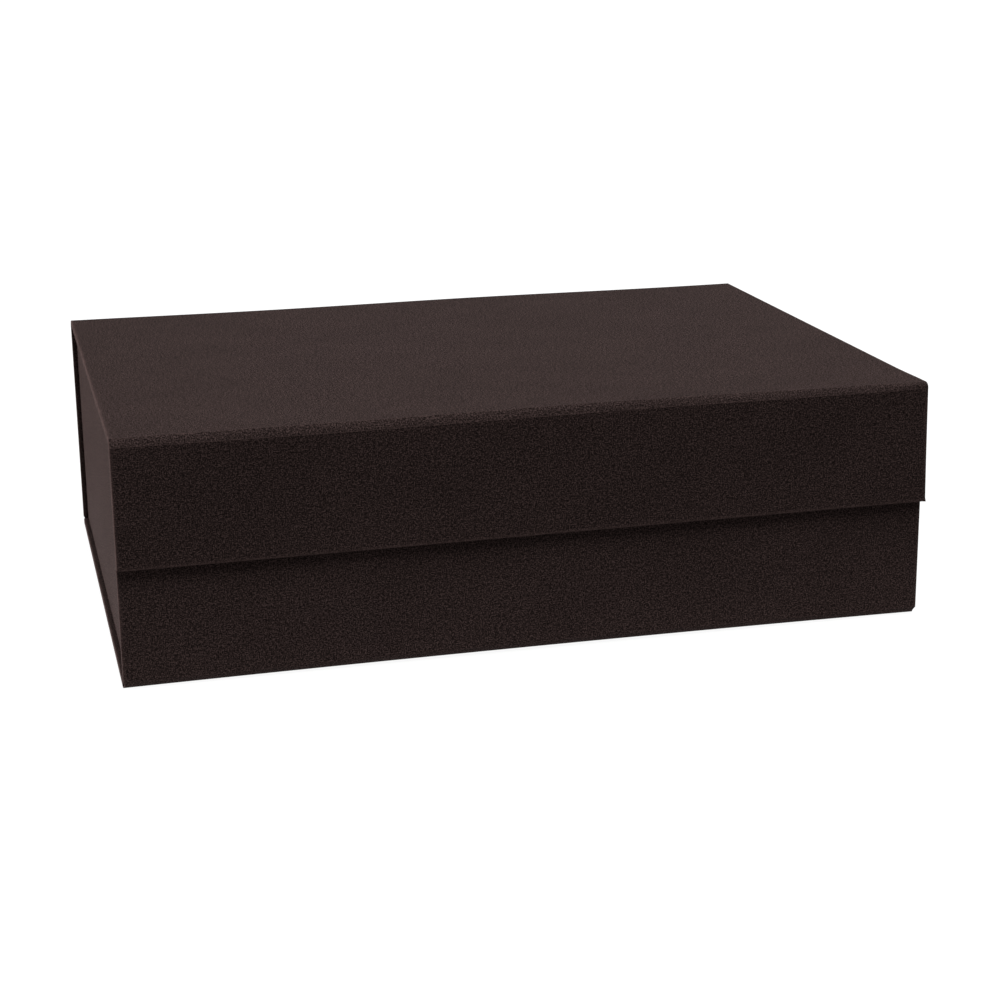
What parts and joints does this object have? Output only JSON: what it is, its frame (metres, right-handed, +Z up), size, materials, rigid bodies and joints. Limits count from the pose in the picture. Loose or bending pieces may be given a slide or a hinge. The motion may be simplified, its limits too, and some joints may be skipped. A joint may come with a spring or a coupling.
{
  "type": "gift box",
  "caption": "Rigid rectangular gift box with a hinged lid and a front flap that closes magnetically, wrapped in dark textured paper.",
  "frame": {"origin": "centre of the closed box's footprint, on the surface it stands on", "axes": "+X along the width, to the right of someone facing the flap; -Y is the front, where the flap is; +Z up"},
  "size_m": [0.33, 0.24, 0.1],
  "materials": {
    "outer_paper": "matte",
    "inner_paper": "matte",
    "grey_board": "matte",
    "adhesive_tape": "satin",
    "magnet": "satin",
    "keeper_steel": "satin"
  },
  "bodies": {
    "tray": {"back_board": "grey_board", "back_fold_paper": "outer_paper", "back_left_ear": "outer_paper", "back_left_tape": "adhesive_tape", "back_liner": "inner_paper", "back_right_ear": "outer_paper", "back_right_tape": "adhesive_tape", "back_wrap": "outer_paper", "base_board": "grey_board", "base_liner": "inner_paper", "base_wrap": "outer_paper", "front_board": "grey_board", "front_fold_paper": "outer_paper", "front_keeper_left": "keeper_steel", "front_keeper_right": "keeper_steel", "front_left_ear": "outer_paper", "front_left_tape": "adhesive_tape", "front_liner": "inner_paper", "front_right_ear": "outer_paper", "front_right_tape": "adhesive_tape", "front_wrap": "outer_paper", "left_wall_board": "grey_board", "left_wall_liner": "inner_paper", "left_wall_wrap": "outer_paper", "lid_hinge_paper": "outer_paper", "right_wall_board": "grey_board", "right_wall_liner": "inner_paper", "right_wall_wrap": "outer_paper"},
    "lid": {"lid_board": "grey_board", "lid_wrap": "outer_paper", "lid_liner": "inner_paper", "flap_hinge_paper": "outer_paper"},
    "flap": {"flap_board": "grey_board", "flap_wrap": "outer_paper", "flap_liner": "inner_paper", "flap_magnet_left": "magnet", "flap_magnet_right": "magnet"}
  },
  "joints": [
    {"name": "lid_hinge", "type": "hinge", "parent": "tray", "child": "lid", "pos_m": [0, 0.11916, 0.09916], "axis": [-1, 0, 0], "range_deg": [0, 175], "deforming": ["lid_hinge_paper"]},
    {"name": "flap_hinge", "type": "hinge", "parent": "lid", "child": "flap", "pos_m": [0, -0.11916, 0.09916], "axis": [-1, 0, 0], "range_deg": [0, 175], "deforming": ["flap_hinge_paper"]}
  ]
}
